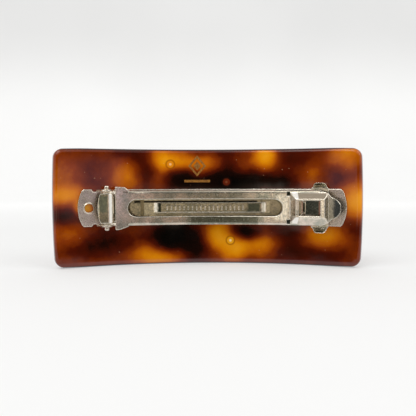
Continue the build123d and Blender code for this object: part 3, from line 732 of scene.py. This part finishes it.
# ---------------------------------------------------------------- squeeze tabs
def squared_tab(place_name, material):
    """A squeeze tab made from the CAD solid's mesh, with its ear narrower and flatter along its outer end."""
    joints = frame["record"]["behaviour"]["joints"]
    hinge = next(joint for joint in joints if joint["name"] == f"{place_name}_tab_flex")
    root = Vector(hinge["pos_m"])
    along = Vector(hinge["axis"])
    along *= math.copysign(1, along.x)
    upwards = math.copysign(1, root.z - CLIP_Z)
    node = f"squeeze_tab_{place_name}"
    mesh = bmesh.new()
    mesh.from_mesh(frame["nodes"][node].data)
    for vert in mesh.verts:
        height = upwards * (vert.co.z - CLIP_Z)
        if height <= EAR_FOOT:
            continue
        side = (vert.co - root).dot(along)
        share = min(1.0, abs(side) / EAR_HALF_WIDTH)
        crown = EAR_SHOULDER + EAR_CROWN * (1 - share**2)
        flat_crown = EAR_SHOULDER + EAR_FLAT_CROWN * (1 - share**4)
        lowering = (height - EAR_FOOT) * (flat_crown - crown) / (crown - EAR_FOOT)
        narrowing = EAR_NARROWING * min(1.0, (height - EAR_FOOT) / (EAR_SIDE - EAR_FOOT))
        vert.co.z += upwards * lowering
        vert.co -= narrowing * (side - EAR_MIDDLE) * along
    tab = finish_mesh(mesh, f"squared_tab_{place_name}", material)
    tab.data.attributes.remove(tab.data.attributes["custom_normal"])
    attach(tab, f"tab_{place_name}")
    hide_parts(node)


def finish_mesh(mesh, name, material):
    """A bmesh as a smooth, named piece of the scene."""
    data = bpy.data.meshes.new(name)
    mesh.to_mesh(data)
    mesh.free()
    for polygon in data.polygons:
        polygon.use_smooth = True
    data.materials.append(material)
    piece = bpy.data.objects.new(name, data)
    bpy.context.scene.collection.objects.link(piece)
    return piece


# ---------------------------------------------------------------- studio
# Lighter patches on the card: left and right, bottom and top (m from its middle), how soft the bottom and the
# top are, and sRGB colour, which is past 255 where the card shines more than white paper.
CARD_TONE = (54, 56, 50)
CARD_SIDE_SOFTNESS = 0.03
CARD_PATCHES = (
    ((-0.200, 0.200), (-0.047, -0.012), 0.006, (188, 175, 151)),
    ((0.065, 0.40), (-0.064, -0.010), 0.006, (216, 192, 176)),
    ((-0.335, -0.112), (-0.064, -0.010), 0.006, (302, 288, 266)),
    ((0.215, 0.42), (-0.045, 0.034), 0.015, (212, 204, 226)),
    ((-0.42, -0.300), (-0.045, 0.034), 0.015, (212, 204, 226)),
)
CARD_HALF_WIDTH = 0.52
CARD_LEVELS = (-0.14, 0.24)
CARD_Y = -0.60
CARD_RAGGEDNESS = 0.05
PAPER_TONES = ((187, 187, 186), (190, 190, 189))
FLOOR_GLOW = 0.64
BACKDROP_LIFT = 0.30
WORLD_TONE = (252, 252, 253)
WORLD_STRENGTH = 0.82


def studio_floor():
    """A pale floor that curves up into a backdrop. It glows a little, so that the shadows on it stay soft."""
    shader = Shader("studio_paper")
    tone = shader.span(shader.noise(0.35, 2.0), 0.3, 0.7)
    colour = shader.mix(tone, linear(PAPER_TONES[0]), linear(PAPER_TONES[1]))
    _, depth, height = shader.axes(shader.position)
    # The backdrop glows more in a band part way up it, as painted light.
    lift = shader.span(height, 0.18, 0.42, 1.0, 0.0)
    lift = shader.math("MULTIPLY", shader.span(depth, 0.05, 0.45), lift)
    glow = shader.math("ADD", FLOOR_GLOW, shader.math("MULTIPLY", lift, BACKDROP_LIFT))
    shader.surface(Base_Color=colour, Roughness=1.0, Emission_Color=colour, Emission_Strength=glow)

    near, far, half_width, bend, top = -1.6, 0.75, 2.2, 0.35, 1.6
    section = [(near, 0.0)]
    section += [(far + x, bend + z) for x, z in arc((0, 0), bend, -90, 0, 16)]
    section.append((far + bend, top))
    mesh = bmesh.new()
    left = [mesh.verts.new((-half_width, y, z)) for y, z in section]
    right = [mesh.verts.new((half_width, y, z)) for y, z in section]
    for index in range(len(section) - 1):
        mesh.faces.new((left[index], right[index], right[index + 1], left[index + 1]))
    floor = finish_mesh(mesh, "studio_floor", shader.material)
    floor.visible_glossy = False


def card_patch(shader, across, up, sides, levels, soft):
    """1 inside a soft-edged rectangle on the card, and 0 outside it."""
    left, right = sides
    bottom, top = levels
    mask = shader.span(across, left - CARD_SIDE_SOFTNESS, left + CARD_SIDE_SOFTNESS)
    ending = shader.span(across, right - CARD_SIDE_SOFTNESS, right + CARD_SIDE_SOFTNESS, 1.0, 0.0)
    mask = shader.math("MULTIPLY", mask, ending)
    mask = shader.math("MULTIPLY", mask, shader.span(up, bottom - soft, bottom + soft))
    return shader.math("MULTIPLY", mask, shader.span(up, top - soft, top + soft, 1.0, 0.0))


def studio_card():
    """A dim card with lighter patches round the camera. It shows only as a reflection."""
    shader = Shader("studio_card")
    across, _, up = shader.axes(shader.position)
    ragged = shader.math("SUBTRACT", shader.noise(0.08, 3.0), 0.5)
    ragged = shader.math("MULTIPLY", ragged, CARD_RAGGEDNESS)
    across = shader.math("ADD", across, ragged)
    up = shader.math("ADD", up, shader.math("MULTIPLY", ragged, 0.5))
    colour = linear(CARD_TONE)
    for sides, levels, soft, tone in CARD_PATCHES:
        mask = card_patch(shader, across, up, sides, levels, soft)
        colour = shader.mix(mask, colour, linear(tone))
    glow = shader.add("ShaderNodeEmission")
    shader.feed(glow.inputs["Color"], colour)
    glow.inputs["Strength"].default_value = 1.0
    shader.feed(shader.output.inputs["Surface"], glow.outputs[0])

    low, high = CARD_LEVELS
    left, right = -CARD_HALF_WIDTH, CARD_HALF_WIDTH
    mesh = bmesh.new()
    corners = ((left, low), (right, low), (right, high), (left, high))
    mesh.faces.new([mesh.verts.new((x, 0, z)) for x, z in corners])
    card = finish_mesh(mesh, "studio_card", shader.material)
    card.location = (0, CARD_Y, CAMERA_Z)
    card.visible_camera = False
    card.visible_diffuse = False
    card.visible_transmission = False
    card.visible_shadow = False


def area_light(name, location, target, size, power):
    light = bpy.data.lights.new(name, "AREA")
    light.shape = "RECTANGLE"
    light.size, light.size_y = size
    light.energy = power
    lamp = bpy.data.objects.new(name, light)
    lamp.location = location
    lamp.rotation_euler = (Vector(target) - Vector(location)).to_track_quat("-Z", "Y").to_euler()
    bpy.context.scene.collection.objects.link(lamp)


def studio_lights():
    world = bpy.data.worlds.new("studio")
    world.use_nodes = True
    background = world.node_tree.nodes["Background"]
    background.inputs["Color"].default_value = linear(WORLD_TONE)
    background.inputs["Strength"].default_value = WORLD_STRENGTH
    bpy.context.scene.world = world
    middle = (0, 0, 0.02)
    area_light("key_softbox", (-0.35, -0.45, 0.75), middle, (0.6, 0.5), 3.2)
    area_light("fill_softbox", (0.55, -0.35, 0.50), middle, (0.5, 0.5), 1.4)


def studio_camera():
    camera = bpy.data.objects.new("camera", bpy.data.cameras.new("camera"))
    camera.data.lens = CAMERA_LENS
    camera.location = (CAMERA_X, APEX_Y - CAMERA_DISTANCE, CAMERA_Z)
    camera.rotation_euler = (math.radians(90) - CAMERA_PITCH, CAMERA_ROLL, -CAMERA_YAW)
    camera.data.clip_start = 0.01
    bpy.context.scene.collection.objects.link(camera)
    bpy.context.scene.camera = camera


# ---------------------------------------------------------------- assembly
studio_camera()
studio_floor()
studio_card()
studio_lights()
bpy.context.scene.view_settings.view_transform = "Standard"

plate = plate_piece(acetate_material())
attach(plate, "plate")
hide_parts("acetate_plate")

spring_steel = spring_material()
tab_steel = tab_material()
adhesive = adhesive_material()
paint("base_bar", bar_material())
paint("clasp_saddle", saddle_material())
paint("tension_bar", spring_steel)
paint("clamp_arm", arm_material())
paint("hinge_pin", pin_material())
paint("adhesive_pad_hinge_end", adhesive)
paint("adhesive_pad_clasp_end", adhesive)
squared_tab("upper", tab_steel)
squared_tab("lower", tab_steel)
pressed_marks(spring_steel)
foil_ornament(foil_material())
